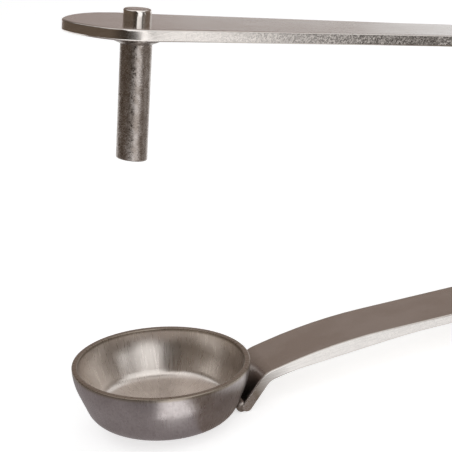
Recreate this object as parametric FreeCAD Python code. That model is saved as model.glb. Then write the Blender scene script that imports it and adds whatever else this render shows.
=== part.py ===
import FreeCAD
import Part

import math
import os

# Olive pitter of the tong kind, in millimetres. Two stainless straps are hinged at the back.
# The upper one carries a round punch, the lower one a small bowl with a hole for the stone.
# Everything is drawn in the lever frame: the punch axis is x = 0, the upper lever's flat top
# face is z = 0, +X runs back towards the hinge, and y = 0 is the middle of the tool.
# At the end the tool is turned as it stands on a table, open, and its box is centred on X.

# Upper lever: a flat strap with a pointed oval head, which bends down to the hinge.
upper_gauge = 2.2
head_half_width = 12.55
head_nose = 10.13
head_centre = 3.81
head_power = 1.6
neck_behind_punch = 14.0
neck_half_width = 11.6
taper_end = 57.0
bend_radius = 130.0
bend_angle = 26.0
edge_break = 0.35

# Hinge: where its pin lies, and the room round it.
lever_reach = 188.6
pin_depth = 27.9
pin_radius = 2.0
pin_running_gap = 0.05
pin_to_upper_web = 7.5
pin_to_lower_web = 7.0
fold_radius = 0.5
washer_gauge = 0.5
washer_radius = 5.6
upper_lug_radius = 6.5
lower_lug_radius = 6.2
upper_lug_back = 4.7
lower_lug_front = 17.0
lower_lug_back = 9.0
stop_start = 1.0
stop_end = 4.0
stop_gap = 0.03

# Lower lever: a narrow strap with a ramp and a leg down the side of the bowl.
lower_width = 13.3
lower_gauge = 2.2
grip_angle = 11.0
ramp_angle = 22.6
leg_angle = 58.5
ramp_top_from_punch = 42.2
ramp_foot_from_punch = 27.8
leg_length = 7.7
ramp_bend_radius = 110.0
leg_bend_radius = 5.5
swell_before = 9.8
swell_after = 17.5
swell_front_radius = 50.0
swell_back_radius = 150.0
tail_length = 18.6
tail_corner = 3.0
hang_hole_radius = 2.5
hang_hole_inset = 5.2

# Bowl: a spun cup with a rolled-in lip, a cone, a round corner and a slightly domed bottom.
bowl_radius = 18.1
bowl_wall = 1.2
bowl_depth = 12.6
bowl_lean = 5.4
lip_radius = 12.7
cone_angle = 22.0
corner_radius = 4.0
dome_radius = 60.0
stone_hole_radius = 5.5
rim_break = 0.25
weld_depth = 9.35
saddle_depth = 0.15
weld_radius = 1.15
weld_drop = 0.64
weld_sink = 0.32
weld_round = 0.7
weld_length = 3.9
weld_inset = 0.1

# Punch: a turned rod with a tenon through the head and a collar below it. The collar has a
# straight band, then a cone; the rod's tip is cut a little aslant.
punch_radius = 3.0
punch_length = 23.9
tenon_radius = 2.65
tenon_proud = 2.3
tenon_round = 0.5
punch_edge = 0.25
tip_slant = 3.5
dimple_radius = 2.1
dimple_depth = 0.9
collar_radius = 4.7
collar_tip_radius = 3.2
collar_height = 1.95
collar_band = 1.3

# Rivet, washers under its heads, spacer sleeve and torsion spring.
rivet_head_radius = 3.7
rivet_head_height = 1.6
rivet_tail_radius = 3.2
rivet_tail_height = 1.3
head_washer_radius = 4.6
head_washer_gauge = 0.7
sleeve_radius = 3.0
sleeve_edge = 0.25
wire_radius = 0.65
coil_radius = 4.2
coil_turns = 5
coil_pitch = 1.36
upper_spring_reach = 20.0
lower_spring_reach = 21.0
spring_rest_gap = 0.08

V = FreeCAD.Vector
ACROSS = V(0, 1, 0)
lower_half = lower_width / 2
web_half = lower_half + washer_gauge + upper_gauge
upper_web_top = pin_to_upper_web + upper_gauge
pin = V(lever_reach, 0, -pin_depth)


def direction(heading):
    """The unit vector in the XZ plane that rises from +X by this many degrees."""
    turn = math.radians(heading)
    return V(math.cos(turn), 0, math.sin(turn))


def place(origin, heading, along, above=0.0, across=0.0):
    """A point given along a heading, square above it, and across the tool."""
    run = direction(heading)
    return origin + run * along + V(-run.z, 0, run.x) * above + ACROSS * across


def meet(a, heading_a, b, heading_b):
    """Where the line through a crosses the line through b."""
    run_a = direction(heading_a)
    run_b = direction(heading_b)
    gap = b - a
    share = (gap.x * run_b.z - gap.z * run_b.x) / (run_a.x * run_b.z - run_a.z * run_b.x)
    return a + run_a * share


def right_of(run):
    return V(run.z, 0, -run.x)


def line(a, b):
    return Part.LineSegment(a, b).toShape()


def arc(a, middle, b):
    return Part.Arc(a, middle, b).toShape()


def runs_of(corners):
    return [(b - a).normalize() for a, b in zip(corners, corners[1:])]


def bent_line(corners, radii):
    """Edges along the corners, each inner corner rounded by its own radius."""
    runs = runs_of(corners)
    edges = []
    start = corners[0]
    for corner, radius, before, after in zip(corners[1:], radii, runs, runs[1:]):
        turn = before.getAngle(after)
        reach = radius * math.tan(turn / 2)
        into = corner - before * reach
        out = corner + after * reach
        inward = (after - before).normalize()
        centre = corner + inward * (radius / math.cos(turn / 2))
        edges.append(line(start, into))
        edges.append(arc(into, centre - inward * radius, out))
        start = out
    if (corners[-1] - start).Length > 1e-6:
        edges.append(line(start, corners[-1]))
    return edges


def far_side(corners, radii, gauge):
    """The corners and bend radii of a strap's other face, one gauge to the right."""
    runs = runs_of(corners)
    sides = [right_of(run) for run in runs]
    moved = [corners[0] + sides[0] * gauge]
    for corner, one, two in zip(corners[1:], sides, sides[1:]):
        moved.append(corner + (one + two) * (gauge / (1 + one.dot(two))))
    moved.append(corners[-1] + sides[-1] * gauge)
    changed = []
    for radius, before, after in zip(radii, runs, runs[1:]):
        turns_left = before.x * after.z - before.z * after.x > 0
        changed.append(radius + gauge if turns_left else radius - gauge)
    return moved, changed


def strap(corners, radii, gauge, half_width, round_start=False, swell=None):
    """A bent strap of one gauge, drawn by the corners of its top face from front to back.
    A swell gives where the underside leaves its last bend and meets it again, and two radii."""
    under, under_radii = far_side(corners, radii, gauge)
    if swell:
        before, after, front_radius, back_radius = swell
        into, out = runs_of(under)[-2:]
        under[-2:-1] = [under[-2] - into * before, under[-2] + out * after]
        under_radii[-1:] = [front_radius, back_radius]
    nose = (corners[0] + under[0]) * 0.5 - runs_of(corners)[0] * (gauge / 2)
    front = arc(under[0], nose, corners[0]) if round_start else line(under[0], corners[0])
    edges = [front] + bent_line(corners, radii) + [line(corners[-1], under[-1])]
    edges += bent_line(under, under_radii)
    return slab(edges, -half_width, half_width)


def slab(edges, low, high):
    """A flat outline in the XZ plane, made solid from one y to another."""
    face = Part.Face(Part.Wire(Part.__sortEdges__(edges)))
    solid = face.extrude(ACROSS * (high - low))
    solid.translate(ACROSS * low)
    return solid


def cross_rod(centre, radius, low, high):
    """A round bar across the tool, from one y to another."""
    return Part.makeCylinder(radius, high - low, V(centre.x, low, centre.z), ACROSS)


def tube(centre, outer, inner, low, high):
    return cross_rod(centre, outer, low, high).cut(cross_rod(centre, inner, low - 1, high + 1))


def tangent_point(outside, centre, radius, side):
    """Where a line from a point outside touches a circle; side is +1 or -1."""
    gap = outside - centre
    reach = gap.Length
    base = math.atan2(gap.z, gap.x)
    swing = side * math.acos(radius / reach)
    return centre + direction(math.degrees(base + swing)) * radius


def round_edges(solid, radius, wanted):
    """Round the edges that the test picks."""
    edges = [edge for edge in solid.Edges if wanted(edge)]
    return solid.makeFillet(radius, edges)


def lug_channel(heading, web_face, gauge, half_width, fold, start, end, height):
    """A channel folded from a strap: its web lies beyond web_face, its walls come back over
    the pin. A positive web_face is above the pin and a negative one below it."""
    side = 1 if web_face > 0 else -1
    outer = web_face + side * gauge
    wall = half_width - gauge
    corner = fold + gauge
    tip = web_face - side * height

    def at(across, above):
        return place(pin, heading, start, above, across)

    def fold_arc(sign, across, above, radius):
        centre_y = sign * (across - radius)
        centre_h = above - side * radius
        lean = radius * math.sqrt(0.5)
        a = at(sign * across, centre_h)
        b = at(centre_y, above)
        middle = at(centre_y + sign * lean, centre_h + side * lean)
        return arc(a, middle, b)

    edges = []
    for sign in (-1, 1):
        edges.append(line(at(sign * half_width, tip), at(sign * half_width, outer - side * corner)))
        edges.append(fold_arc(sign, half_width, outer, corner))
        edges.append(line(at(sign * wall, tip), at(sign * wall, web_face - side * fold)))
        edges.append(fold_arc(sign, wall, web_face, fold))
        edges.append(line(at(sign * half_width, tip), at(sign * wall, tip)))
    edges.append(line(at(corner - half_width, outer), at(half_width - corner, outer)))
    edges.append(line(at(fold - wall, web_face), at(wall - fold, web_face)))
    face = Part.Face(Part.Wire(Part.__sortEdges__(edges)))
    return face.extrude(direction(heading) * (end - start))


def web_block(heading, start, end, low, high):
    """A wide block round a stretch of web, to cut it out of its strap."""
    corners = [place(pin, heading, start, low), place(pin, heading, end, low),
               place(pin, heading, end, high), place(pin, heading, start, high)]
    edges = [line(a, b) for a, b in zip(corners, corners[1:] + corners[:1])]
    return slab(edges, -2 * web_half, 2 * web_half)


# Upper lever ---------------------------------------------------------------------------

def head_outline():
    """The plan of the upper lever: pointed oval head, neck, long taper and parallel grip."""
    nose_x = -head_centre - head_nose
    back_x = lever_reach + upper_lug_back + pin_depth
    half_turn = math.pi / 2
    steps = 8
    points = []
    for step in range(steps + 1):
        turn = half_turn * step / steps
        x = -head_centre - head_nose * math.cos(turn) ** (2 / head_power)
        y = head_half_width * math.sin(turn) ** (2 / head_power)
        points.append(V(x, y, 0))
    points.append(V(neck_behind_punch, neck_half_width, 0))
    taper = V(taper_end - neck_behind_punch, web_half - neck_half_width, 0).normalize()
    side = Part.BSplineCurve()
    side.interpolate(Points=points, InitialTangent=V(0, 1, 0), FinalTangent=taper)
    upper = [side.toShape(), line(points[-1], V(taper_end, web_half, 0)),
             line(V(taper_end, web_half, 0), V(back_x, web_half, 0))]
    lower = [edge.mirror(V(0, 0, 0), ACROSS) for edge in upper]
    end = line(V(back_x, web_half, 0), V(back_x, -web_half, 0))
    face = Part.Face(Part.Wire(Part.__sortEdges__(upper + lower + [end])))
    depth = 2 * pin_depth + upper_gauge
    solid = face.extrude(V(0, 0, depth))
    solid.translate(V(0, 0, 1 - depth))
    return solid, nose_x


def upper_lug_front():
    """How far before the pin the lugs start: where the long bend ends."""
    over_pin = place(pin, -bend_angle, 0, upper_web_top)
    corner = meet(V(0, 0, 0), 0, over_pin, -bend_angle)
    return corner, (over_pin - corner).Length - bend_radius * math.tan(math.radians(bend_angle / 2))


def upper_lever():
    plan, nose_x = head_outline()
    corner, lug_front = upper_lug_front()
    bend_end = place(pin, -bend_angle, -lug_front, upper_web_top)
    side = strap([V(nose_x - 2, 0, 0), corner, bend_end], [bend_radius], upper_gauge,
                 head_half_width + 2)
    lever = side.common(plan).Solids[0]

    def long_edge(edge):
        upright = edge.BoundBox.XLength < 1e-6
        crosswise = edge.BoundBox.YMax > web_half - 1e-3 and edge.BoundBox.YMin < 1e-3 - web_half
        return not upright and not crosswise and edge.Length > upper_gauge + 1e-3

    lever = round_edges(lever, edge_break, long_edge)
    channel = lug_channel(-bend_angle, pin_to_upper_web, upper_gauge, web_half, fold_radius,
                          -lug_front, upper_lug_back, pin_to_upper_web + upper_lug_radius)
    front = place(pin, -bend_angle, -lug_front, pin_to_upper_web)
    front_top = place(pin, -bend_angle, -lug_front, upper_web_top)
    back_top = place(pin, -bend_angle, upper_lug_back, upper_web_top)
    back_low = place(pin, -bend_angle, upper_lug_back, pin_to_upper_web)
    touch_front = tangent_point(front, pin, upper_lug_radius, 1)
    touch_back = tangent_point(back_low, pin, upper_lug_radius, -1)
    bottom = place(pin, -bend_angle, 0, -upper_lug_radius)
    outline = [line(front, front_top), line(front_top, back_top), line(back_top, back_low),
               line(back_low, touch_back), arc(touch_back, bottom, touch_front),
               line(touch_front, front)]
    lever = lever.fuse(channel.common(slab(outline, -web_half, web_half))).removeSplitter()
    lever = lever.cut(Part.makeCylinder(tenon_radius, upper_gauge + 2, V(0, 0, -upper_gauge - 1)))
    return lever.cut(cross_rod(pin, pin_radius, -web_half - 1, web_half + 1))


# Punch ---------------------------------------------------------------------------------

def punch():
    """The rod hangs below the head; its tenon passes through and stands a little proud."""
    top = V(0, 0, -upper_gauge)
    tip = FreeCAD.Placement(top - V(0, 0, punch_length), FreeCAD.Rotation(ACROSS, tip_slant))
    side = 4 * punch_radius
    below = Part.makeBox(side, side, side, V(-side / 2, -side / 2, -side))
    below.Placement = tip
    rod = Part.makeCylinder(punch_radius, punch_length + 1, top - V(0, 0, punch_length + 1))
    rod = round_edges(rod.cut(below), punch_edge, lambda edge: edge.BoundBox.ZMax < -punch_length)
    tenon = Part.makeCylinder(tenon_radius, upper_gauge + tenon_proud, top)
    tenon = round_edges(tenon, tenon_round, lambda edge: edge.BoundBox.ZMin > tenon_proud - 0.1)
    dimple = Part.makeCone(dimple_radius, 0, dimple_depth)
    dimple.Placement = tip
    return rod.fuse(tenon).cut(dimple)


def punch_collar():
    """A ring round the rod, close under the head: a straight band above a flat cone."""
    low = V(0, 0, -upper_gauge - collar_height)
    cone_height = collar_height - collar_band
    cone = Part.makeCone(collar_tip_radius, collar_radius, cone_height, low)
    band = Part.makeCylinder(collar_radius, collar_band, low + V(0, 0, cone_height))
    ring = cone.fuse(band).removeSplitter()
    return ring.cut(Part.makeCylinder(punch_radius, collar_height + 2, low - V(0, 0, 1)))


# Bowl ----------------------------------------------------------------------------------

def bowl_edges(inset):
    """Half the bowl's section, moved in from its outer face, as a profile in (radius, depth):
    the lip's arc, the cone, the corner's arc and the domed bottom."""
    slope = math.radians(cone_angle)
    normal = (math.cos(slope), math.sin(slope))
    lip_centre = (bowl_radius - lip_radius, 0.0)
    reach = lip_centre[0] * normal[0] + lip_radius - corner_radius
    dome_centre = bowl_depth - dome_radius
    along = (-normal[1], normal[0])
    foot = (normal[0] * reach, normal[1] * reach)
    drop = (foot[0], foot[1] - dome_centre)
    half_b = drop[0] * along[0] + drop[1] * along[1]
    c = drop[0] ** 2 + drop[1] ** 2 - (dome_radius - corner_radius) ** 2
    share = -half_b + math.sqrt(half_b ** 2 - c)
    corner_centre = (foot[0] + along[0] * share, foot[1] + along[1] * share)
    tilt = math.atan2(corner_centre[1] - dome_centre, corner_centre[0])

    def swing(centre, radius, turn):
        size = radius - inset
        return V(centre[0] + size * math.cos(turn), 0, -centre[1] - size * math.sin(turn))

    lip_end = swing(lip_centre, lip_radius, slope)
    lip_top = V(bowl_radius - inset, 0, 0)
    corner_start = swing(corner_centre, corner_radius, slope)
    corner_end = swing(corner_centre, corner_radius, tilt)
    dome = (0.0, dome_centre)
    bottom = swing(dome, dome_radius, math.pi / 2)
    return [arc(lip_top, swing(lip_centre, lip_radius, slope / 2), lip_end),
            line(lip_end, corner_start),
            arc(corner_start, swing(corner_centre, corner_radius, (slope + tilt) / 2), corner_end),
            arc(corner_end, swing(dome, dome_radius, (tilt + math.pi / 2) / 2), bottom)]


def bowl_body(inset):
    """The solid of revolution inside one face of the bowl, its rim in the plane z = 0."""
    edges = bowl_edges(inset)
    rim = edges[0].Vertexes[0].Point
    bottom = edges[-1].Vertexes[-1].Point
    edges = edges + [line(bottom, V(0, 0, 0)), line(V(0, 0, 0), rim)]
    face = Part.Face(Part.Wire(Part.__sortEdges__(edges)))
    return face.revolve(V(0, 0, 0), V(0, 0, 1), 360)


def wall_radius(depth):
    """The bowl's outer radius on its cone, at this depth below the rim."""
    slope = math.radians(cone_angle)
    lip_end = bowl_radius - lip_radius * (1 - math.cos(slope))
    return lip_end - (depth - lip_radius * math.sin(slope)) * math.tan(slope)


def bowl():
    shell = bowl_body(0.0).cut(bowl_body(bowl_wall))
    shell = round_edges(shell, rim_break, lambda edge: edge.BoundBox.ZMin > -1e-6)
    hole = Part.makeCylinder(stone_hole_radius, 2 * bowl_depth, V(0, 0, -2 * bowl_depth))
    shell = shell.cut(hole)
    return round_edges(shell, bowl_wall / 4,
                       lambda edge: abs(edge.BoundBox.XMax - stone_hole_radius) < 1e-3
                       and edge.BoundBox.ZLength < 1e-3)


# Lower lever ---------------------------------------------------------------------------

def lower_corners():
    """The top face of the lower strap from the leg's end, up the ramp and back to the tail."""
    below_pin = place(pin, grip_angle, 0, -pin_to_lower_web)
    ramp_top = meet(below_pin, grip_angle, V(ramp_top_from_punch, 0, 0), 90)
    ramp_foot = meet(ramp_top, ramp_angle, V(ramp_foot_from_punch, 0, 0), 90)
    leg_end = ramp_foot - direction(leg_angle) * leg_length
    tail = place(pin, grip_angle, tail_length, -pin_to_lower_web)
    return [leg_end, ramp_foot, ramp_top, tail]


def bowl_placement():
    """The bowl leans, and its cone passes just inside the end of the leg."""
    lean = FreeCAD.Rotation(V(0, 1, 0), -bowl_lean)
    outward = lean.multVec(V(1, 0, 0))
    up = lean.multVec(V(0, 0, 1))
    leg_end = lower_corners()[0]
    centre = leg_end - outward * (wall_radius(weld_depth) - saddle_depth) + up * weld_depth
    return FreeCAD.Placement(centre, lean)


def set_in_place(solid):
    """Put a solid that was drawn round the bowl's rim where the bowl is."""
    moved = solid.copy()
    moved.Placement = bowl_placement().multiply(moved.Placement)
    return moved


def lower_strap():
    corners = lower_corners()
    lever = strap(corners, [leg_bend_radius, ramp_bend_radius], lower_gauge, lower_half, True,
                  (swell_before, swell_after, swell_front_radius, swell_back_radius))
    lever = round_edges(lever, tail_corner,
                        lambda edge: edge.BoundBox.YLength < 1e-6
                        and edge.BoundBox.XMin > corners[-1].x - 1
                        and abs(edge.Length - lower_gauge) < 1e-6)
    return round_edges(lever, edge_break,
                       lambda edge: abs(edge.Length - lower_gauge) > 1e-6
                       and edge.BoundBox.YLength < tail_corner + 1e-3
                       and edge.BoundBox.YMax * edge.BoundBox.YMin > 0)


def lower_lever():
    lever = lower_strap()
    web = -pin_to_lower_web
    lever = lever.cut(web_block(grip_angle, -lower_lug_front, lower_lug_back,
                                web - lower_gauge - 2, web + 2))
    channel = lug_channel(grip_angle, web, lower_gauge, lower_half, fold_radius,
                          -lower_lug_front, lower_lug_back, pin_to_lower_web + upper_web_top)
    stop_height = pin_to_upper_web - stop_gap
    stop_front = place(pin, -bend_angle, stop_start, stop_height)
    stop_back = place(pin, -bend_angle, stop_end, stop_height)
    front_low = place(pin, grip_angle, -lower_lug_front, web - lower_gauge)
    front = place(pin, grip_angle, -lower_lug_front, web)
    back = place(pin, grip_angle, lower_lug_back, web)
    back_low = place(pin, grip_angle, lower_lug_back, web - lower_gauge)
    touch_front = tangent_point(front, pin, lower_lug_radius, -1)
    touch_stop = tangent_point(stop_front, pin, lower_lug_radius, 1)
    top = place(pin, grip_angle, 0, lower_lug_radius)
    outline = [line(front_low, front), line(front, touch_front),
               arc(touch_front, top, touch_stop), line(touch_stop, stop_front),
               line(stop_front, stop_back), line(stop_back, back), line(back, back_low),
               line(back_low, front_low)]
    lever = lever.fuse(channel.common(slab(outline, -lower_half, lower_half))).removeSplitter()
    bearing = pin_radius + pin_running_gap
    lever = lever.cut(cross_rod(pin, bearing, -lower_half - 1, lower_half + 1))
    hole_at = place(pin, grip_angle, tail_length - hang_hole_inset, web - lower_gauge - 1)
    up = direction(grip_angle + 90)
    lever = lever.cut(Part.makeCylinder(hang_hole_radius, lower_gauge + 2, hole_at, up))
    return lever.cut(set_in_place(bowl_body(0.0)))


def bowl_weld():
    """Two beads under the leg's end that join it to the round wall, one each side."""
    middle = place(lower_corners()[0], leg_angle, -weld_drop, -weld_sink)
    wall = set_in_place(bowl_body(0.0))
    leg = lower_strap()
    beads = []
    for low in (weld_inset - lower_half, lower_half - weld_inset - weld_length):
        rod = cross_rod(middle, weld_radius, low, low + weld_length)
        rod = round_edges(rod, weld_round, lambda edge: edge.isClosed())
        beads.append(max(rod.cut(wall).cut(leg).Solids, key=lambda solid: solid.Volume))
    return beads


# Hinge ---------------------------------------------------------------------------------

def dome_cap(centre_y, side, base_radius, height):
    """A low domed rivet head that stands on a face across the tool."""
    ball = (base_radius ** 2 + height ** 2) / (2 * height)
    sphere = Part.makeSphere(ball, V(pin.x, centre_y + side * (height - ball), pin.z))
    low = min(centre_y, centre_y + side * height)
    return sphere.common(cross_rod(pin, 2 * base_radius, low, low + height))


def hinge_pin():
    seat = web_half + head_washer_gauge
    shank = cross_rod(pin, pin_radius, -seat, seat)
    head = dome_cap(-seat, -1, rivet_head_radius, rivet_head_height)
    tail = dome_cap(seat, 1, rivet_tail_radius, rivet_tail_height)
    return shank.fuse([head, tail]).removeSplitter()


def head_washers():
    return [tube(pin, head_washer_radius, pin_radius, web_half, web_half + head_washer_gauge),
            tube(pin, head_washer_radius, pin_radius, -web_half - head_washer_gauge, -web_half)]


def lug_washers():
    bore = pin_radius + pin_running_gap
    return [tube(pin, washer_radius, bore, lower_half, lower_half + washer_gauge),
            tube(pin, washer_radius, bore, -lower_half - washer_gauge, -lower_half)]


def spacer_sleeve():
    inside = lower_half - lower_gauge
    sleeve = tube(pin, sleeve_radius, pin_radius + pin_running_gap, -inside, inside)
    return sleeve.makeChamfer(sleeve_edge, [edge for edge in sleeve.Edges
                                            if edge.Length > 6 * sleeve_radius
                                            and edge.BoundBox.YLength < 1e-6])


def spring_legs():
    """Where each leg of the spring ends: just under the upper web, and on the lower one."""
    lift = wire_radius + spring_rest_gap
    sink = max(0, upper_spring_reach - upper_lug_front()[1]) ** 2 / (2 * bend_radius)
    upper = place(pin, -bend_angle, -upper_spring_reach, pin_to_upper_web - lift - sink)
    lower = place(pin, grip_angle, -lower_spring_reach, lift - pin_to_lower_web)
    return upper, lower


def torsion_spring():
    """A close coil round the sleeve, with a straight leg to each lever."""
    upper_end, lower_end = spring_legs()
    touch_upper = tangent_point(upper_end, pin, coil_radius, -1)
    touch_lower = tangent_point(lower_end, pin, coil_radius, 1)
    start = math.degrees(math.atan2(touch_upper.z - pin.z, touch_upper.x - pin.x))
    end = math.degrees(math.atan2(touch_lower.z - pin.z, touch_lower.x - pin.x))
    turns = coil_turns - ((end - start) % 360) / 360
    half = coil_pitch * turns / 2
    helix = Part.makeHelix(coil_pitch, coil_pitch * turns, coil_radius)
    section = Part.Wire([Part.makeCircle(wire_radius, V(coil_radius, 0, 0), V(0, 1, 0))])
    coil = Part.Wire(helix.Edges).makePipeShell([section], True, True)
    lay = FreeCAD.Rotation(V(1, 0, 0), -90)
    coil.Placement = FreeCAD.Placement(V(0, -half, 0), lay)
    coil.rotate(V(0, 0, 0), ACROSS, -start)
    coil.translate(pin)
    pieces = []
    for touch, leg_end, across in ((touch_upper, upper_end, -half), (touch_lower, lower_end, half)):
        root = touch + ACROSS * across
        run = leg_end + ACROSS * across - root
        pieces.append(Part.makeCylinder(wire_radius, run.Length, root, run))
        pieces.append(Part.makeSphere(wire_radius, root))
        pieces.append(Part.makeSphere(wire_radius, root + run))
    return coil.fuse(pieces)


# Standing pose -------------------------------------------------------------------------

def standing(solids):
    """Turn the tool until the leg's round end and the tail's lower edge are level, set it
    down on z = 0, and centre its box on X."""
    corners = lower_corners()
    leg_run = direction(leg_angle)
    heel = corners[0] + right_of(leg_run) * (lower_gauge / 2)
    tail = place(pin, grip_angle, tail_length, -pin_to_lower_web - lower_gauge)
    gap = tail - heel
    turn = math.atan2(gap.z, gap.x) + math.asin(lower_gauge / 2 / gap.Length)
    level = FreeCAD.Placement(V(0, 0, 0), FreeCAD.Rotation(ACROSS, math.degrees(turn)))
    for solid in solids:
        solid.Placement = level.multiply(solid.Placement)
    box = Part.makeCompound(solids).optimalBoundingBox(False)
    shift = V(-(box.XMin + box.XMax) / 2, 0, -box.ZMin)
    for solid in solids:
        solid.translate(shift)
    return level, shift


pieces = {
    "lower_lever": lower_lever(),
    "bowl": set_in_place(bowl()),
    "bowl_weld": Part.makeCompound(bowl_weld()),
    "spacer_sleeve": spacer_sleeve(),
    "lug_washers": Part.makeCompound(lug_washers()),
    "torsion_spring": torsion_spring(),
    "upper_lever": upper_lever(),
    "punch": punch(),
    "punch_collar": punch_collar(),
    "hinge_pin": hinge_pin(),
    "head_washers": Part.makeCompound(head_washers()),
}

level, shift = standing(list(pieces.values()))
hinge_at = level.multVec(pin) + shift
print("hinge axis at x %.3f z %.3f" % (hinge_at.x, hinge_at.z))

os.makedirs("parts", exist_ok=True)
for name, shape in pieces.items():
    shape.exportStep("parts/" + name + ".step")
    print(name, shape.ShapeType, len(shape.Solids), round(shape.Volume, 2), shape.isValid())
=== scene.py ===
import math

import bpy
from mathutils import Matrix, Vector


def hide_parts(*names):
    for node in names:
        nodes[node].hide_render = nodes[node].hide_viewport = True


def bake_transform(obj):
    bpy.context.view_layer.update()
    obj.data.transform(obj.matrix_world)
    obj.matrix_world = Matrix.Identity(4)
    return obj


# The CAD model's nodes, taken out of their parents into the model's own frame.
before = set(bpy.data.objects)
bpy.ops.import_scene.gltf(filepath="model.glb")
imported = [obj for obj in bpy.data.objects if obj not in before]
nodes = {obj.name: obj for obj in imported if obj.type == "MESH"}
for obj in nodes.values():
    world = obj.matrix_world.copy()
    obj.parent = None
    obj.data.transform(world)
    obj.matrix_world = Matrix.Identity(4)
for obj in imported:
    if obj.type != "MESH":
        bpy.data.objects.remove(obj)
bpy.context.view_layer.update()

MM = 0.001


# Lower lever -------------------------------------------------------------------------
# One strap of 2.2 mm stainless sheet, blanked, bent and folded up into two lugs at the back.
# Its faces keep the faint long grain of the rolled sheet. The blanked edges are paler: they
# keep fine lines from the shear and are peened a little by the tumbling drum.

sheet_grain = 0.16 * MM
sheet_grain_depth = 0.002 * MM
sheet_stain = 7 * MM
shear_line = 0.22 * MM
shear_depth = 0.003 * MM
drum_dimple = 0.23 * MM
dimple_turn = 0.07
peening_run = 50 * MM
lug_fade = 2 * MM

lower_face = (0.50, 0.465, 0.43)
lower_edge = (0.80, 0.77, 0.745)
lower_tumbling = 0.25
lower_peened_from = -90 * MM
lower_lugs_from = 75 * MM


def give(tree, node, values):
    """Give a node's inputs their values or links."""
    for key, value in values.items():
        if isinstance(value, bpy.types.NodeSocket):
            tree.links.new(value, node.inputs[key])
        else:
            node.inputs[key].default_value = value


def put(tree, kind, values=(), **settings):
    """Add a node to a tree, set what it does, and give its inputs their values or links."""
    made = tree.nodes.new(kind)
    for name, value in settings.items():
        setattr(made, name, value)
    give(tree, made, dict(values))
    return made


def math_of(tree, operation, *numbers):
    """A number worked out from one to three numbers or links."""
    return put(tree, "ShaderNodeMath", dict(enumerate(numbers)), operation=operation).outputs[0]


def vector_math(tree, operation, *vectors):
    """A vector worked out from one or two vectors, or a number where that is the answer."""
    made = put(tree, "ShaderNodeVectorMath", dict(enumerate(vectors)), operation=operation)
    return made.outputs["Value" if operation in ("LENGTH", "DOT_PRODUCT") else "Vector"]


def numbers_of(tree, vector):
    """The three numbers of a vector or a colour."""
    return put(tree, "ShaderNodeSeparateXYZ", {0: vector}).outputs


def vector_of(tree, *numbers):
    """A vector from one to three numbers or links, with 0 for the rest."""
    return put(tree, "ShaderNodeCombineXYZ", dict(enumerate(numbers))).outputs[0]


def between(tree, value, low, high, to_low=0.0, to_high=1.0):
    """Carry a value smoothly from one range to another."""
    made = put(tree, "ShaderNodeMapRange", {"Value": value, "From Min": low, "From Max": high,
                                            "To Min": to_low, "To Max": to_high},
               interpolation_type="SMOOTHSTEP")
    return made.outputs["Result"]


def gloss(tree, cloudy, smooth, rough):
    """A roughness that follows cloudy noise, most of which lies from 0.3 to 0.7."""
    return between(tree, cloudy, 0.3, 0.7, smooth, rough)


def either(tree, share, one, other):
    """One number where the share is 0 and another where it is 1."""
    return put(tree, "ShaderNodeMix", {0: share, 2: one, 3: other}, data_type="FLOAT").outputs[0]


def mixed(tree, share, *colours):
    """One colour where the share is 0 and another where it is 1."""
    one, other = [colour if isinstance(colour, bpy.types.NodeSocket) else (*colour, 1)
                  for colour in colours]
    return put(tree, "ShaderNodeMix", {0: share, 6: one, 7: other}, data_type="RGBA").outputs[2]


def toned(colour, *shares):
    """A colour with its red, green and blue each turned down to a share."""
    return tuple(part * share for part, share in zip(colour, shares))


def noise(tree, where, size, scale=(1, 1, 1), detail=2.0):
    """Cloudy noise with lumps of this size in metres, drawn out along an axis by its scale."""
    placed = put(tree, "ShaderNodeMapping", {"Vector": where, "Scale": scale})
    made = put(tree, "ShaderNodeTexNoise", {"Vector": placed.outputs[0], "Scale": 1 / size,
                                            "Detail": detail})
    return made.outputs["Fac"]


def grains(tree, where, size):
    """Small grains, each with three numbers of its own from 0 to 1."""
    return put(tree, "ShaderNodeTexVoronoi", {"Vector": where, "Scale": 1 / size}).outputs["Color"]


def turned_grains(tree, own_numbers, amount):
    """The surface's own direction, with each grain turned its own way by this amount."""
    turn = vector_math(tree, "SUBTRACT", own_numbers, (0.5, 0.5, 0.5))
    turn = put(tree, "ShaderNodeVectorMath", {0: turn, "Scale": amount}, operation="SCALE")
    straight = put(tree, "ShaderNodeNewGeometry").outputs["Normal"]
    return vector_math(tree, "NORMALIZE", vector_math(tree, "ADD", straight, turn.outputs[0]))


def bumped(tree, shader, *layers, below=None):
    """Stack bumps, each a pattern and its height in metres, and hand them to the shader."""
    for pattern, height in layers:
        values = {"Height": pattern, "Distance": height, "Strength": 1.0}
        if below:
            values["Normal"] = below
        below = put(tree, "ShaderNodeBump", values).outputs[0]
    give(tree, shader, {"Normal": below})


def metal(name):
    """A bare metal: its material, node tree and shader, and the place on the piece."""
    made = bpy.data.materials.new(name)
    made.use_nodes = True
    tree = made.node_tree
    shader = tree.nodes["Principled BSDF"]
    give(tree, shader, {"Metallic": 1.0})
    return made, tree, shader, put(tree, "ShaderNodeTexCoord").outputs["Object"]


def facing_of(tree):
    """The way that the surface faces, in the piece's own directions."""
    return put(tree, "ShaderNodeTexCoord").outputs["Normal"]


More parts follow.
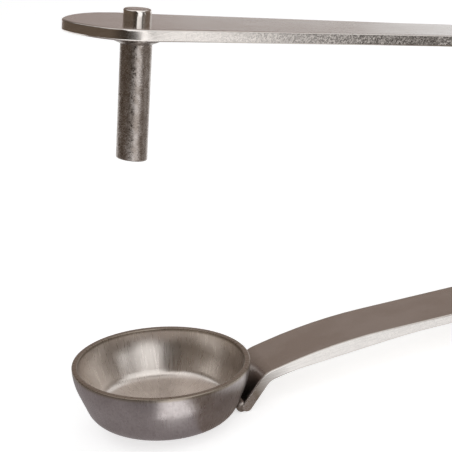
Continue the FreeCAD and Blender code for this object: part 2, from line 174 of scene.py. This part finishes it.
def strap_steel(name, face, edge, tumbling, peened_from, lugs_from):
    """Rolled sheet with blanked edges. The faces are satin. Tumbling is how strongly the
    edges are peened, from 0 to 1, behind the place where the peening starts."""
    made, tree, shader, where = metal(name)
    along, across, up = numbers_of(tree, where)
    facing = numbers_of(tree, facing_of(tree))
    sideways = math_of(tree, "ABSOLUTE", facing[1])
    upward = math_of(tree, "ABSOLUTE", facing[2])
    # What faces neither up nor down is a blanked edge. The folded lugs count as sheet throughout.
    in_front = between(tree, along, lugs_from, lugs_from - lug_fade)
    blanked = math_of(tree, "MULTIPLY", between(tree, upward, 0.5, 0.3), in_front)
    rolled = math_of(tree, "SUBTRACT", 1.0, blanked)

    # The grain runs along the strap, also where the sheet stands on edge in the lugs.
    across_grain = either(tree, between(tree, sideways, 0.6, 0.8), across, up)
    grain = noise(tree, vector_of(tree, along, across_grain), sheet_grain, (0.02, 1, 1), detail=3)
    stain = noise(tree, where, sheet_stain, (0.6, 1, 1), detail=3)
    shear = noise(tree, where, shear_line, (0.06, 0.06, 1))
    dimples = grains(tree, where, drum_dimple)
    depth = numbers_of(tree, dimples)[0]
    hit = between(tree, along, peened_from, peened_from + peening_run, 0, tumbling)

    # Peened dimples are painted darker, each by its own random number: painted shade in the dents.
    shallow = toned(edge, 0.70, 0.69, 0.68)
    dimple_painted_shade = toned(edge, 0.36, 0.35, 0.345)
    sheet = mixed(tree, between(tree, stain, 0.35, 0.65), face, toned(face, 0.91, 0.89, 0.87))
    peened = mixed(tree, hit, edge, mixed(tree, between(tree, depth, 0.1, 0.9), shallow, dimple_painted_shade))
    worn = mixed(tree, between(tree, shear, 0.35, 0.65, 0, 0.3), peened, shallow)
    satin = gloss(tree, grain, smooth=0.15, rough=0.22)
    struck = between(tree, hit, 0, 1, 0.15, 0.24)
    give(tree, shader, {"Base Color": mixed(tree, blanked, sheet, worn),
                        "Roughness": either(tree, blanked, satin, struck)})
    turn = math_of(tree, "MULTIPLY", math_of(tree, "MULTIPLY", hit, blanked), dimple_turn)
    bumped(tree, shader,
           (math_of(tree, "MULTIPLY", grain, rolled), sheet_grain_depth),
           (math_of(tree, "MULTIPLY", shear, blanked), shear_depth),
           below=turned_grains(tree, dimples, turn))
    return made


def finish_node(node, material):
    """Give a carried-over CAD piece its finish."""
    piece = nodes[node]
    piece.data.materials.clear()
    piece.data.materials.append(material)
    for face in piece.data.polygons:
        face.material_index = 0


finish_node("lower_lever", strap_steel("lower_strap_steel", lower_face, lower_edge,
                                       lower_tumbling, lower_peened_from, lower_lugs_from))


# Bowl --------------------------------------------------------------------------------
# A cup of 1.2 mm stainless sheet, spun and rolled in at the lip, with a hole for the stone.
# The spinning tool leaves fine rings round its axis, and a light rub down the wall crosses
# them. The inside is polished, which takes most of the rub off, and its colour is painted much
# paler as painted light. The rolled lip is painted dark brown: painted shade for the dark that
# its top mirrors.

bowl_centre = Vector((-92.707, 0, 13.288)) * MM
bowl_lean = math.radians(8.165331)
wall_radius = 17 * MM
ring_width = 0.13 * MM
ring_depth = 0.006 * MM
rub_width = 0.4 * MM
rub_depth = 0.003 * MM
cloud_size = 5 * MM
speck_size = 0.5 * MM
inside_step = 1 * MM
rub_polished_off = 0.8
lip_start = -0.9 * MM
lip_full = -0.3 * MM
outside_pale = (0.48, 0.44, 0.435)
outside_grey = (0.40, 0.36, 0.355)
outside_speck = (0.29, 0.255, 0.25)
# Painted light: the inside is painted far paler than the outside, for the light that it catches.
inside_painted_light_pale = (0.76, 0.71, 0.665)
inside_painted_light_grey = (0.66, 0.61, 0.57)
# The lip's brown is painted shade for the dark that the rim's top mirrors.
lip_painted_shade = (0.32, 0.275, 0.23)

bowl_made, tree, shader, where = metal("bowl_steel")
spun = put(tree, "ShaderNodeMapping", {"Vector": where, "Location": -bowl_centre}).outputs[0]
spun = put(tree, "ShaderNodeMapping", {"Vector": spun, "Rotation": (0, -bowl_lean, 0)}).outputs[0]
out, sideways, height = numbers_of(tree, spun)
reach = vector_math(tree, "LENGTH", vector_of(tree, out, sideways))
round_wall = math_of(tree, "MULTIPLY", math_of(tree, "ARCTAN2", sideways, out), wall_radius)
wall_place = vector_of(tree, round_wall, math_of(tree, "SUBTRACT", reach, height))
rings = noise(tree, wall_place, ring_width, (0.05, 1, 1))
rub = noise(tree, wall_place, rub_width, (1, 0.12, 1))
clouds = between(tree, noise(tree, where, cloud_size, detail=4), 0.3, 0.7)
specks = between(tree, noise(tree, where, speck_size, detail=3), 0.45, 0.7, 0, 0.4)
to_mouth = vector_math(tree, "SUBTRACT", bowl_centre, where)
inward = vector_math(tree, "DOT_PRODUCT", facing_of(tree), to_mouth)
inside_polish_and_painted_light = between(tree, inward, 0, inside_step)
# Where the lip's painted shade lies: it fades in over the top of the wall.
lip_shade_share = between(tree, height, lip_start, lip_full)

outer = mixed(tree, specks, mixed(tree, clouds, outside_pale, outside_grey), outside_speck)
# The inside's colour, with its painted light.
inner_painted_light = mixed(tree, clouds, inside_painted_light_pale, inside_painted_light_grey)
give(tree, shader, {"Base Color": mixed(tree, lip_shade_share, mixed(tree, inside_polish_and_painted_light, outer, inner_painted_light), lip_painted_shade),
                    "Roughness": gloss(tree, rub, smooth=0.26, rough=0.34)})
rub_left = math_of(tree, "SUBTRACT", 1.0, math_of(tree, "MULTIPLY", inside_polish_and_painted_light, rub_polished_off))
bumped(tree, shader, (rings, ring_depth), (math_of(tree, "MULTIPLY", rub, rub_left), rub_depth))
finish_node("bowl", bowl_made)


# Weld --------------------------------------------------------------------------------
# Two short beads of weld metal that hold the leg's end to the round wall, one on each side.
# Each bead is a row of small overlapping ripples, brushed after welding.

heat_tint = 0.8 * MM
ripple_size = 0.5 * MM
ripple_depth = 0.05 * MM
bead_pale = (0.46, 0.42, 0.39)
bead_brown = (0.34, 0.30, 0.27)

weld_made, tree, shader, where = metal("weld_steel")
heat = noise(tree, where, heat_tint)
give(tree, shader, {"Base Color": mixed(tree, heat, bead_pale, bead_brown),
                    "Roughness": gloss(tree, heat, smooth=0.30, rough=0.46)})
bumped(tree, shader, (noise(tree, where, ripple_size, (0.4, 1.6, 0.4), detail=1), ripple_depth))
finish_node("bowl_weld", weld_made)


# Spacer sleeve and washers -----------------------------------------------------------
# A turned steel sleeve keeps the lower lugs apart on the rivet, and turned steel washers lie
# under the rivet's heads. Thin nylon washers fill the running gap between the levers' lugs.

feed_mark = 0.12 * MM
feed_depth = 0.008 * MM
oil_film = 2 * MM
turned_pale = (0.60, 0.565, 0.54)
turned_grey = (0.50, 0.47, 0.445)

turned_made, tree, shader, where = metal("turned_steel")
feed = noise(tree, vector_of(tree, numbers_of(tree, where)[1]), feed_mark, detail=1)
film = noise(tree, where, oil_film)
give(tree, shader, {"Base Color": mixed(tree, film, turned_pale, turned_grey),
                    "Roughness": gloss(tree, feed, smooth=0.20, rough=0.34)})
bumped(tree, shader, (feed, feed_depth))
finish_node("spacer_sleeve", turned_made)
finish_node("head_washers", turned_made)

fleck_size = 0.7 * MM
fleck_depth = 0.01 * MM
nylon_pale = (0.83, 0.82, 0.78)
nylon_yellowed = (0.74, 0.73, 0.68)

nylon_made, tree, shader, where = metal("washer_nylon")
flecks = noise(tree, where, fleck_size, detail=3)
give(tree, shader, {"Metallic": 0.0,
                    "Base Color": mixed(tree, flecks, nylon_pale, nylon_yellowed),
                    "Roughness": gloss(tree, flecks, smooth=0.42, rough=0.56)})
bumped(tree, shader, (flecks, fleck_depth))
finish_node("lug_washers", nylon_made)


# Torsion spring ----------------------------------------------------------------------
# Hard-drawn wire wound close round the sleeve, with a straight leg to each lever. It winds
# up as the levers close, so it turns with the upper lever at one end and stays at the other.

die_line = 0.25 * MM
die_line_depth = 0.006 * MM
wire_pale = (0.54, 0.525, 0.51)
wire_grey = (0.42, 0.405, 0.39)

wire_made, tree, shader, where = metal("spring_wire")
drawn = noise(tree, where, die_line)
give(tree, shader, {"Base Color": mixed(tree, drawn, wire_pale, wire_grey),
                    "Roughness": gloss(tree, drawn, smooth=0.20, rough=0.33)})
bumped(tree, shader, (drawn, die_line_depth))

pin_at = Vector((92.4995, 0, 10.0233)) * MM
spring_sizes = {"Wire radius": 0.65 * MM, "Coil radius": 4.2 * MM, "Pitch": 1.36 * MM,
                "Turns": 4.362808, "Start angle": math.radians(43.6213),
                "Upper leg": 20.644 * MM, "Lower leg": 21.51 * MM}
coil_steps = 190
wire_sides = 20
same_place = 0.001 * MM

winding = bpy.data.node_groups.new("spring_winding", "GeometryNodeTree")
winding.interface.new_socket("Geometry", in_out="OUTPUT", socket_type="NodeSocketGeometry")
for size in spring_sizes:
    winding.interface.new_socket(size, in_out="INPUT", socket_type="NodeSocketFloat")
winding.interface.new_socket("Middle", in_out="INPUT", socket_type="NodeSocketVector")
winding.interface.new_socket("Wire", in_out="INPUT", socket_type="NodeSocketMaterial")
given = put(winding, "NodeGroupInput").outputs


def on_coil(share):
    """A point on the coil, its share of the way along the winding, and its angle there."""
    wound = math_of(winding, "MULTIPLY", math_of(winding, "MULTIPLY", given["Turns"], share),
                    math.tau)
    angle = math_of(winding, "SUBTRACT", given["Start angle"], wound)
    along = math_of(winding, "MULTIPLY", math_of(winding, "SUBTRACT", share, 0.5),
                    math_of(winding, "MULTIPLY", given["Pitch"], given["Turns"]))
    out = math_of(winding, "MULTIPLY", given["Coil radius"], math_of(winding, "COSINE", angle))
    up = math_of(winding, "MULTIPLY", given["Coil radius"], math_of(winding, "SINE", angle))
    return vector_of(winding, out, along, up), angle


def leg(share, sense, length):
    """A straight leg that leaves the coil along its own tangent."""
    start, angle = on_coil(share)
    out = math_of(winding, "MULTIPLY", math_of(winding, "SINE", angle), sense)
    up = math_of(winding, "MULTIPLY", math_of(winding, "COSINE", angle), -sense)
    line = put(winding, "GeometryNodeCurvePrimitiveLine",
               {"Start": start, "Direction": vector_of(winding, out, 0, up),
                "Length": given[length]}, mode="DIRECTION").outputs[0]
    return put(winding, "GeometryNodeCurveToMesh", {"Curve": line}).outputs[0]


step = math_of(winding, "DIVIDE", put(winding, "GeometryNodeInputIndex").outputs[0],
               coil_steps - 1.0)
row = put(winding, "GeometryNodeMeshLine", {"Count": coil_steps}).outputs[0]
coil = put(winding, "GeometryNodeSetPosition", {"Geometry": row, "Position": on_coil(step)[0]})
whole = put(winding, "GeometryNodeJoinGeometry")
for stretch in (leg(0.0, -1.0, "Upper leg"), coil.outputs[0], leg(1.0, 1.0, "Lower leg")):
    winding.links.new(stretch, whole.inputs[0])
joined = put(winding, "GeometryNodeMergeByDistance",
             {"Geometry": whole.outputs[0], "Distance": same_place}).outputs[0]
path = put(winding, "GeometryNodeMeshToCurve", {"Mesh": joined}).outputs[0]
ring = put(winding, "GeometryNodeCurvePrimitiveCircle",
           {"Resolution": wire_sides, "Radius": given["Wire radius"]}).outputs[0]
wire = put(winding, "GeometryNodeCurveToMesh",
           {"Curve": path, "Profile Curve": ring, "Fill Caps": True}).outputs[0]
wire = put(winding, "GeometryNodeTransform",
           {"Geometry": wire, "Translation": given["Middle"]}).outputs[0]
wire = put(winding, "GeometryNodeSetShadeSmooth", {"Geometry": wire}).outputs[0]
wire = put(winding, "GeometryNodeRealizeInstances", {"Geometry": wire}).outputs[0]
wire = put(winding, "GeometryNodeSetMaterial",
           {"Geometry": wire, "Material": given["Wire"]}).outputs[0]
put(winding, "NodeGroupOutput", {0: wire})


def made_by(tree, name, **inputs):
    """Run a geometry tree on an empty mesh and keep the plain result."""
    holder = bpy.data.objects.new(name + "_maker", bpy.data.meshes.new(name + "_maker"))
    bpy.context.scene.collection.objects.link(holder)
    modifier = holder.modifiers.new("maker", "NODES")
    modifier.node_group = tree
    for socket in tree.interface.items_tree:
        if socket.in_out == "INPUT" and socket.name in inputs:
            modifier[socket.identifier] = inputs[socket.name]
    bpy.context.view_layer.update()
    result = holder.evaluated_get(bpy.context.evaluated_depsgraph_get())
    mesh = bpy.data.meshes.new_from_object(result)
    mesh.name = name
    bpy.data.objects.remove(holder)
    made = bpy.data.objects.new(name, mesh)
    bpy.context.scene.collection.objects.link(made)
    return made


spring = made_by(winding, "wound_spring", Middle=pin_at, Wire=wire_made, **spring_sizes)
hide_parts("torsion_spring")
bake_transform(spring)


# Upper lever -------------------------------------------------------------------------
# A wider strap of 2.2 mm sheet with a pointed oval head, bent down to the hinge in one long
# curve. It is made as the lower lever is, but its faces are a little paler and its edges are
# peened harder.

upper_face = (0.57, 0.54, 0.515)
upper_edge = (0.79, 0.745, 0.71)
upper_tumbling = 1.0
upper_peened_from = -92 * MM
upper_lugs_from = 72 * MM

finish_node("upper_lever", strap_steel("upper_strap_steel", upper_face, upper_edge,
                                       upper_tumbling, upper_peened_from, upper_lugs_from))


# Punch and collar --------------------------------------------------------------------
# A round steel rod, blasted so that it grips nothing, with a turned tenon that goes up
# through the head and is left standing a little proud. The collar under the head, a band with
# a cone below it, is darkened by the heat of its brazing.

punch_seat = Vector((-84.295, 0, 81.382)) * MM
punch_axis = Vector((0.23455, 0, 0.97210))
seat_fade = 0.2 * MM
tenon_edge = 1.9 * MM
tenon_top = 2.2 * MM
pit_size = 0.26 * MM
pit_depth = 0.002 * MM
pit_turn = 0.11
tarnish_size = 1.1 * MM
blasted_pale = (0.46, 0.415, 0.39)
blasted_brown = (0.32, 0.275, 0.245)
tenon_side = (0.84, 0.80, 0.765)
# The tenon's top is painted darker than its turned side: painted shade for the dark that it mirrors.
tenon_end_painted_shade = (0.44, 0.39, 0.36)
tenon_roughness = 0.12

punch_made, tree, shader, where = metal("punch_steel")
pits = grains(tree, where, pit_size)
depth = numbers_of(tree, pits)[0]
tarnish = noise(tree, where, tarnish_size, (1, 1, 0.5), detail=5)
from_seat = vector_math(tree, "SUBTRACT", where, punch_seat)
height = vector_math(tree, "DOT_PRODUCT", from_seat, punch_axis)
above_head = between(tree, height, -seat_fade, 0)
below_head = math_of(tree, "SUBTRACT", 1.0, above_head)
end_shade_share = between(tree, height, tenon_edge, tenon_top)
rod = mixed(tree, between(tree, tarnish, 0.35, 0.65), blasted_pale, blasted_brown)
tenon = mixed(tree, above_head, rod, tenon_side)
blasted = between(tree, depth, 0, 1, 0.24, 0.36)
# The tenon's top gets its painted shade.
give(tree, shader, {"Base Color": mixed(tree, end_shade_share, tenon, tenon_end_painted_shade),
                    "Roughness": either(tree, above_head, blasted, tenon_roughness)})
bumped(tree, shader, (math_of(tree, "MULTIPLY", depth, below_head), pit_depth),
       below=turned_grains(tree, pits, math_of(tree, "MULTIPLY", below_head, pit_turn)))
finish_node("punch", punch_made)

braze_stain = 0.6 * MM
braze_depth = 0.02 * MM
braze_grey = (0.34, 0.305, 0.28)
braze_dark = (0.20, 0.17, 0.15)

collar_made, tree, shader, where = metal("collar_steel")
heat = noise(tree, where, braze_stain, detail=3)
give(tree, shader, {"Base Color": mixed(tree, between(tree, heat, 0.3, 0.7), braze_grey, braze_dark),
                    "Roughness": gloss(tree, heat, smooth=0.22, rough=0.36)})
bumped(tree, shader, (heat, braze_depth))
finish_node("punch_collar", collar_made)


# Rivet -------------------------------------------------------------------------------
# The hinge is one steel rivet with a domed head on each side, over a thin steel washer.
# The heads are set cold, which leaves faint rings and a smooth shine.

set_ring = 0.25 * MM
set_ring_depth = 0.008 * MM
rub_size = 1.2 * MM
head_pale = (0.62, 0.595, 0.57)
head_grey = (0.52, 0.49, 0.465)

rivet_made, tree, shader, where = metal("rivet_steel")
from_axis = put(tree, "ShaderNodeMapping", {"Vector": where, "Location": -pin_at}).outputs[0]
part = numbers_of(tree, from_axis)
reach = vector_math(tree, "LENGTH", vector_of(tree, part[0], 0, part[2]))
rubs = noise(tree, where, rub_size, detail=3)
give(tree, shader, {"Base Color": mixed(tree, rubs, head_pale, head_grey),
                    "Roughness": gloss(tree, rubs, smooth=0.16, rough=0.30)})
bumped(tree, shader, (noise(tree, vector_of(tree, reach), set_ring, detail=1), set_ring_depth))
finish_node("hinge_pin", rivet_made)


# Camera ------------------------------------------------------------------------------
# A long lens close to the head and the bowl, a little above them, tilted to one side.

camera = bpy.data.objects.new("camera", bpy.data.cameras.new("camera"))
bpy.context.scene.collection.objects.link(camera)
camera.location = (-0.12485, -0.21619, 0.11735)
camera.rotation_euler = [math.radians(angle) for angle in (70.01, 9.4855, -16.5407)]
camera.data.sensor_width = 36
camera.data.lens = 94.392
camera.data.clip_start = 0.01
bpy.context.scene.camera = camera
bpy.context.scene.view_settings.view_transform = "Standard"


# Floor and light ---------------------------------------------------------------------
# A white table in a white room, lit by soft boxes that the metal doesn't mirror. Cards stand
# and lie round the tool as in a product studio. Only the metal mirrors them: they give it its
# dark tones and its bright stripes, and they throw no shadow.

def flat_sheet(name, corners, material):
    """A flat four-cornered sheet of the studio, which is no piece of the tool."""
    mesh = bpy.data.meshes.new(name)
    mesh.from_pydata(corners, [], [(0, 1, 2, 3)])
    mesh.materials.append(material)
    made = bpy.data.objects.new(name, mesh)
    bpy.context.scene.collection.objects.link(made)
    return made


def bare_tree(owner):
    """An empty node tree for a material or the world."""
    owner.use_nodes = True
    owner.node_tree.nodes.clear()
    return owner.node_tree


def seen_directly(tree):
    """1 for what the camera sees, also in metal or through glass, and 0 for plain light."""
    path = put(tree, "ShaderNodeLightPath").outputs
    seen = math_of(tree, "MAXIMUM", path["Is Camera Ray"], path["Is Glossy Ray"])
    return math_of(tree, "MAXIMUM", seen, path["Is Transmission Ray"])


table_reach = 3.0
lift_from, lift_until = 0.5, 1.5
near_lift, far_lift = 0.62, 0.74
table_grey = (0.72, 0.72, 0.72)
white = (1.0, 1.0, 1.0)

# Where the table is seen, a glow lifts it to the room's white, and more so farther off, so
# that no horizon shows.
table_made = bpy.data.materials.new("white_table")
tree = bare_tree(table_made)
table_paint = put(tree, "ShaderNodeBsdfDiffuse", {"Color": (*table_grey, 1)})
from_tool = vector_math(tree, "LENGTH", put(tree, "ShaderNodeTexCoord").outputs["Object"])
lift_there = between(tree, from_tool, lift_from, lift_until, near_lift, far_lift)
lift_seen = math_of(tree, "MULTIPLY", seen_directly(tree), lift_there)
lift = put(tree, "ShaderNodeEmission", {"Color": (*white, 1), "Strength": lift_seen})
both = put(tree, "ShaderNodeAddShader", {0: table_paint.outputs[0], 1: lift.outputs[0]})
put(tree, "ShaderNodeOutputMaterial", {"Surface": both.outputs[0]})
flat_sheet("table", [(-table_reach, -table_reach, 0), (table_reach, -table_reach, 0),
                     (table_reach, table_reach, 0), (-table_reach, table_reach, 0)], table_made)

room_light = 0.42
room = bpy.data.worlds.new("white_room")
bpy.context.scene.world = room
tree = bare_tree(room)
strength = between(tree, seen_directly(tree), 0, 1, room_light, 1.0)
sky = put(tree, "ShaderNodeBackground", {"Color": (*white, 1), "Strength": strength})
put(tree, "ShaderNodeOutputWorld", {"Surface": sky.outputs[0]})


def soft_box(name, at, towards, size, radiance):
    """A soft light of an even brightness. The cards stand in for it in the metal."""
    lamp = bpy.data.lights.new(name, "AREA")
    lamp.shape = "RECTANGLE"
    lamp.size, lamp.size_y = size
    lamp.energy = radiance * math.pi * size[0] * size[1]
    made = bpy.data.objects.new(name, lamp)
    bpy.context.scene.collection.objects.link(made)
    made.location = at
    made.rotation_euler = (Vector(towards) - Vector(at)).to_track_quat("-Z", "Y").to_euler()
    made.visible_glossy = False


tool_middle = (0, 0, 0.03)
bowl_side = (-0.09, 0, 0.02)
soft_box("key_light", (-0.35, -0.35, 0.75), tool_middle, size=(0.45, 0.45), radiance=1.3)
soft_box("right_light", (0.62, -0.72, 0.40), bowl_side, size=(0.75, 0.46), radiance=1.3)
soft_box("front_light", (-0.12, -0.70, 0.42), bowl_side, size=(0.60, 0.50), radiance=1.6)
soft_box("back_light", (0.45, 0.45, 0.6), tool_middle, size=(0.4, 0.4), radiance=0.9)

card_paint = bpy.data.materials.new("card_paint")
tree = bare_tree(card_paint)
own_shade = put(tree, "ShaderNodeAttribute", attribute_name="shade").outputs["Color"]
glow = put(tree, "ShaderNodeEmission", {"Color": own_shade, "Strength": 1.0})
put(tree, "ShaderNodeOutputMaterial", {"Surface": glow.outputs[0]})


def card(name, corners, shades):
    """A four-cornered card for the metal to mirror. Each corner's shade runs into the next."""
    made = flat_sheet(name, corners, card_paint)
    painted = made.data.color_attributes.new("shade", "FLOAT_COLOR", "POINT")
    for point, shade in zip(painted.data, shades):
        point.color = (*shade, 1)
    made.visible_camera = False
    made.visible_diffuse = False
    made.visible_shadow = False
    made.visible_transmission = False


def standing_card(name, foot, end, bottom, top, *shades):
    """A card on edge between two places of the floor. Its shades go round it from the foot."""
    card(name, [(*foot, bottom), (*end, bottom), (*end, top), (*foot, top)], shades)


def lying_card(name, height, corners, *shades):
    """A card that lies flat, just clear of the table."""
    card(name, [(*corner, height) for corner in corners], shades)


def warm(strength):
    """A warm grey: the darker it is, the browner."""
    return ((1.35 - 0.45 * strength) * strength, strength, (0.68 + 0.7 * strength) * strength)


dark = warm(0.02)
brown = warm(0.10)
light_brown = warm(0.15)
dim = warm(0.20)
middling = warm(0.34)
grey = (0.40, 0.37, 0.375)
pale = (0.55, 0.53, 0.51)
bright = (1.5, 1.5, 1.5)

# The cards that stand before the tool and on its left: a near pair, which ends in a soft
# edge, and a row farther off.
left, right = -0.60, 0.60
near_front, front, back = -0.33, -0.75, 0.60
edge_x = -0.118
near_left, near_end, near_edge = [(x, near_front) for x in (left, -0.142, edge_x)]
far_left, far_seam, far_edge = [(x, front) for x in (left, -0.30, 0.20)]
far_end, far_right = [(x, front) for x in (0.34, right)]
corner_end = (right, -0.45)
low_top = 0.10
near_seam, near_top = 0.20, 0.55
far_bottom, far_middle, far_top = 0.13, 0.60, 0.95
left_bottom, right_bottom, right_middle = 0.05, 0.16, 0.34

standing_card("front_left_card", near_left, near_end, 0, near_seam, brown, dark, dark, brown)
standing_card("front_left_upper_card", near_left, near_end, near_seam, near_top,
              brown, dark, dim, dim)
standing_card("front_left_soft_edge", near_end, near_edge, 0, low_top, dark, white, white, dark)
standing_card("front_far_left_card", far_left, far_seam, left_bottom, far_top,
              brown, brown, white, white)
standing_card("front_card", far_seam, far_end, far_bottom, far_middle,
              bright, white, white, bright)
standing_card("front_upper_card", far_seam, far_end, far_middle, far_top,
              bright, white, white, bright)
standing_card("front_right_soft_edge", far_edge, far_end, 0, far_bottom,
              white, dark, dark, white)
standing_card("front_right_card", far_end, far_right, 0, right_bottom, dark, brown, brown, dark)
standing_card("front_right_soft_top", far_end, far_right, right_bottom, right_middle,
              dark, brown, white, white)
standing_card("front_right_upper_card", far_end, far_right, right_middle, far_top,
              white, white, bright, bright)
standing_card("right_corner_card", far_right, corner_end, 0, low_top, *4 * (brown,))
standing_card("left_card", (left, back), near_left, 0, near_top, *4 * (brown,))

# The cards on the table, which the bowl and the levers' sides and undersides mirror.
low = 0.1 * MM
on_top = 2 * low
hem, bowl_line = -0.06, -0.022
beside_bowl, beside_leg, past_leg = -0.089, -0.075, -0.065
bowl_shade, leg_shade = dim, warm(0.12)
right_hem, far_hem = -0.19, -0.45

lying_card("left_ground_card", low,
           [near_left, (-0.22, near_front), (edge_x, hem), (-0.40, hem)],
           brown, white, white, brown)
lying_card("near_left_ground_card", low,
           [(left, hem), (-0.112, hem), (-0.102, bowl_line), (left, bowl_line)],
           brown, dark, grey, brown)
lying_card("under_bowl_card", low,
           [(left, bowl_line), (beside_leg, bowl_line), (beside_leg, 0.06), (left, 0.06)],
           brown, grey, grey, brown)
lying_card("beside_bowl_card", low,
           [(beside_bowl, hem), (beside_leg, hem), (beside_leg, 0.02), (beside_bowl, 0.02)],
           bowl_shade, leg_shade, leg_shade, bowl_shade)
lying_card("under_leg_card", low,
           [(beside_leg, hem), (past_leg, hem), (past_leg, 0.02), (beside_leg, 0.02)],
           leg_shade, white, white, leg_shade)
lying_card("right_ground_card", low,
           [(-0.02, -0.17), (right, right_hem), (right, 0.25), (-0.02, 0.05)],
           light_brown, brown, brown, light_brown)
lying_card("near_right_ground_card", on_top,
           [(-0.02, -0.04), (0.05, -0.04), (0.05, 0.04), (-0.02, 0.04)], *4 * (pale,))
lying_card("near_hinge_card", on_top,
           [(0.05, -0.10), (0.14, -0.10), (0.14, 0.04), (0.05, 0.04)], *4 * (pale,))
lying_card("front_right_ground_card", low,
           [(0.090, far_hem), (0.116, far_hem), (0.092, right_hem), (0.066, right_hem)],
           white, dark, dark, white)
lying_card("far_right_ground_card", low,
           [(0.116, far_hem), far_right, (right, right_hem), (0.092, right_hem)],
           dark, brown, dim, dark)

# The cards on the right, at the back and overhead, and a bright strip beside the bowl. The
# back row's foot rises and falls, and below it the levers mirror the white room.
back_foot = ((left, 0.03), (0.02, 0.086), (0.10, 0.098), (0.22, 0.080), (right, 0.20))
back_top = 0.90
back_names = ("back_left_card", "back_middle_card", "back_inner_right_card", "back_right_card")

standing_card("right_card", corner_end, (right, back), 0, 0.40,
              brown, warm(0.24), middling, brown)
for name, (x, foot), (end_x, end_foot) in zip(back_names, back_foot, back_foot[1:]):
    start_shade = brown if x == left else middling
    card(name, [(x, back, foot), (end_x, back, end_foot), (end_x, back, back_top),
                (x, back, back_top)], (start_shade, middling, middling, start_shade))
card("overhead_card", [(*far_left, far_top), (*far_right, far_top), (right, back, back_top),
                       (left, back, back_top)], (bright, bright, middling, middling))
lying_card("bowl_stripe_card", low,
           [(-0.104, -0.07), (-0.086, -0.07), (-0.086, -0.0205), (-0.102, -0.0205)],
           *4 * (bright,))
